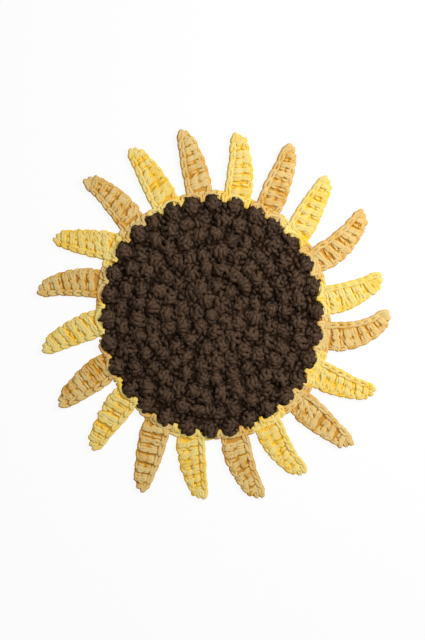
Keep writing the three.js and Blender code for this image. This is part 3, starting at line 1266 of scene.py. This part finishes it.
# %% Work the bobbles and the rim
INNER_ROUNDS = 4.5  # the first four rounds are in the inner piece
BOBBLE_SIZE, BOBBLE_RISE = 5.0, 4.6  # mm
SIZE_VARIES, RISE_VARIES, STRETCH_VARIES = 0.08, 0.7, 0.12  # a share, mm, a share
MIDDLE_BOBBLE = (20, 0.5)  # its angle, and a reach that isn't 0, because a knot divides by it

inner = Skein("inner_bobbles", double_section, DOUBLE_LAY, DOUBLE_STEP)
outer = Skein("outer_bobbles", double_section, DOUBLE_LAY, DOUBLE_STEP)
stood = bobble_places()
for angle, reach in stood:
    skein = inner if reach < INNER_ROUNDS * ROUND_PITCH else outer
    size = BOBBLE_SIZE * dice.normal(1, SIZE_VARIES)
    bobble(skein, angle, reach, size, BOBBLE_RISE + dice.normal(0, RISE_VARIES), STRETCH_VARIES)
bobble(inner, *MIDDLE_BOBBLE)
stood.append(MIDDLE_BOBBLE)

rim = Skein("bobble_rim", double_section, DOUBLE_LAY, DOUBLE_STEP)
for step in range(SCALLOPS):
    angle = rim_angle(step) + dice.normal(0, 0.3)
    bobble(rim, angle, RIM_REACH + rim_lean(angle), size=5.2, rise=4.2)
    stood.append((angle, RIM_REACH))
print("bobbles in all:", len(stood))

# %% [markdown]
# ### Between the bobbles
#
# Plain single crochets fill the places between the bobbles. Without them the ground sheet would show as
# a flat floor. They could be set one by one in the gaps. It is simpler to go round in close rounds and
# to leave out each loop that would stand in a bobble.

# %% Single crochets between the bobbles
FILL_ROUNDS = 18
FILL_PITCH = 4.2  # mm between two of those rounds
FILL_APART = 4.0  # mm between two loops of a round
FILL_TOP = 4.4  # mm
CLEAR_OF_BOBBLE = 3.5  # mm

between = Skein("between_bobbles", double_section, DOUBLE_LAY, DOUBLE_STEP)
crowded = np.array([in_round(angle, reach, 0)[:2] for angle, reach in stood])
for ring in range(FILL_ROUNDS):
    reach = FILL_PITCH * (ring + 1)
    count = round(2 * math.pi * reach / FILL_APART)
    for i in range(count):
        angle = 360 / count * (i + 0.3 * ring) + dice.normal(0, 30 / reach)
        away = reach + dice.normal(0, 0.5)
        spot = np.array(in_round(angle, away, 0)[:2])
        top, slant = FILL_TOP + dice.normal(0, 0.45), dice.uniform(0, math.pi)
        if np.linalg.norm(crowded - spot, axis=1).min() > CLEAR_OF_BOBBLE:
            knot(between, angle, away, 0, 0, top, slant, 0, dice.uniform(1.4, 2.2), 0.9)
print(f"yarn between the bobbles: {between.length / 1000:.1f} m")

# %% [markdown]
# ### The back
#
# The back of the centre shows plain rounds, one loop over the next, and it is what a hand feels. It could
# be left flat, since the cloth lies on it. But a part is also turned over, so it has its rounds: flat
# loops that lie close to the paper, each a little over its neighbour.

# %% The rounds at the back
BACK_ROUNDS = 10
BACK_FIRST, BACK_PITCH = 4.5, 7.4  # mm
BACK_APART = 7.6  # mm between two loops of a round
# The points of a loop: along the round in loops, outward in mm, and up in mm.
BACK_LOOP = (
    (-0.66, -1.6, 2.0),
    (-0.2, -2.7, 1.7),
    (0.35, -2.3, 1.6),
    (0.66, 0.0, 1.9),
    (0.35, 2.3, 1.6),
    (-0.2, 2.7, 1.7),
    (-0.66, 1.4, 2.0),
)

back = Skein("back_rounds", double_section, DOUBLE_LAY, DOUBLE_STEP)
for ring in range(BACK_ROUNDS):
    reach = BACK_FIRST + BACK_PITCH * ring
    count = max(4, round(2 * math.pi * reach / BACK_APART))
    for i in range(count):
        middle = 360 / count * (i + 0.37 * ring)
        loop = [
            in_round(middle + share * 360 / count, reach + out, z) for share, out, z in BACK_LOOP
        ]
        back.strand(shaken(loop, 0.15), phase=dice.uniform(0, 6), thick=0.8)
print(f"yarn in the back: {back.length / 1000:.1f} m")

# %% [markdown]
# ### The centre's ground sheet
#
# Between the front stitches and the back ones lies more yarn, and a flat disc stands for it. A cylinder
# would do as well, but the disc starts as one face, so its area is known before it has a thickness. It is
# a circle, pulled as the rounds are.

# %% The disc inside the centre
DISC_RADIUS = 78.5  # mm
DISC_HEIGHT = 3.9
DISC_THICK = 1.1

bm = bmesh.new()
bmesh.ops.create_circle(bm, cap_ends=True, segments=96, radius=DISC_RADIUS * MM)
bmesh.ops.scale(bm, vec=(PULL_ACROSS, PULL_DOWN, 1), verts=bm.verts)
bmesh.ops.translate(bm, vec=(HUB_X * MM, HUB_Y * MM, DISC_HEIGHT * MM), verts=bm.verts)
disc_area = sum(face.calc_area() for face in bm.faces)
bmesh.ops.solidify(bm, geom=bm.faces[:], thickness=DISC_THICK * MM)
bmesh.ops.recalc_face_normals(bm, faces=bm.faces)
disc = put_in_scene(mesh_from(bm, "centre_ground"), brown_inside_shaded)
disc_levels = sorted({round(v.co.z / MM, 2) for v in disc.data.vertices})
print("the disc lies between", disc_levels, "mm, area", round(disc_area, 4), "square metres")

# %% [markdown]
# ### The centre takes its place
#
# The five skeins of the centre become meshes, and together they take the place of its plain solid. The
# cloth has no joints, so each piece rides on the root.

# %% The centre's pieces
centre_pieces = [skein.piece(brown_yarn) for skein in (inner, outer, rim, between, back)]
for piece in centre_pieces:
    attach(piece, "root")
    print(piece.name, len(piece.data.polygons), "faces")
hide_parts("flower_centre")
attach(disc, "root")
